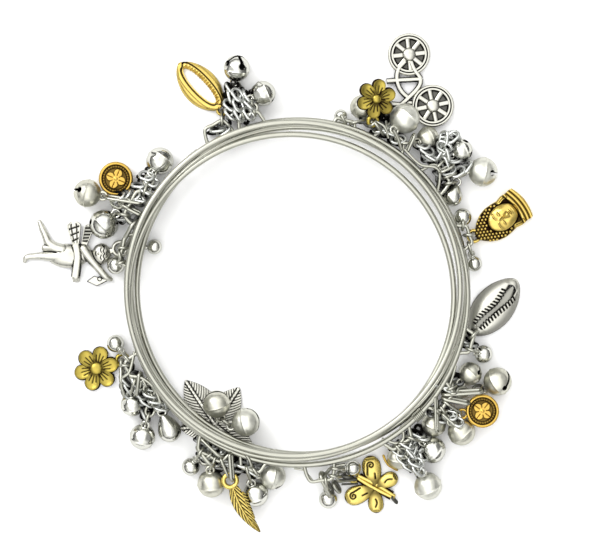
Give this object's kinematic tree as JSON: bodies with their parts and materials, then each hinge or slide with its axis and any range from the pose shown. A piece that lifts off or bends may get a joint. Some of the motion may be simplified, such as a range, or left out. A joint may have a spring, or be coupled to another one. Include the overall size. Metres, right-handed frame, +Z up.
{
  "type": "charm bangle",
  "caption": "Bangle of loose silver-coloured wire hoops with jingle bells, ball drops and flat silver and gold charms on jump rings, lying flat.",
  "frame": {"origin": "on the surface that it lies on, under the middle of its bounding box", "axes": "+Z up, along the hoops' axis; +Y towards the bicycle charm; +X towards the head charm"},
  "size_m": [0.1058, 0.1024, 0.0088],
  "materials": {
    "silver_wire": "bright drawn wire",
    "bright_silver": "polished",
    "satin_silver": "satin",
    "antique_silver": "cast, darkened in the recesses",
    "antique_gold": "cast, darkened in the recesses"
  },
  "bodies": {
    "root": {"hoop_1": "silver_wire", "hoop_2": "silver_wire", "hoop_3": "silver_wire", "hoop_4": "silver_wire", "hoop_5": "silver_wire", "bell_a1": "satin_silver", "bell_a2": "bright_silver", "bell_b1": "satin_silver", "bell_b3": "bright_silver", "bell_b4": "bright_silver", "bell_c3": "bright_silver", "bell_c4": "bright_silver", "bell_d1": "satin_silver", "bell_d2": "bright_silver", "bell_d4": "satin_silver", "bell_d5": "satin_silver", "bell_d6": "bright_silver", "bell_f1": "satin_silver", "bell_f2": "satin_silver", "bell_f3": "bright_silver", "bell_f4": "satin_silver", "bell_f5": "satin_silver", "bell_g1": "satin_silver", "bell_g2": "satin_silver", "bell_j1": "bright_silver", "bell_j2": "bright_silver", "bell_k1": "satin_silver", "bell_k2": "satin_silver", "bell_k3": "satin_silver", "pear_c5": "bright_silver", "pear_j3": "bright_silver", "cowrie_gold": "antique_gold", "cowrie_silver": "antique_silver", "medal_b": "antique_gold", "medal_g": "antique_gold", "cherub": "antique_silver", "flower_c": "antique_gold", "flower_k": "antique_gold", "leaf": "antique_silver", "feather": "antique_gold", "butterfly": "antique_gold", "head": "antique_gold", "bicycle": "antique_silver", "drop_b5": "bright_silver", "drop_b6": "bright_silver", "drop_c2": "bright_silver", "drop_d3": "bright_silver", "drop_e1": "bright_silver", "drop_e2": "bright_silver", "drop_h": "bright_silver", "drop_i1": "bright_silver", "drop_i2": "bright_silver", "drop_k": "bright_silver"}
  },
  "joints": []
}
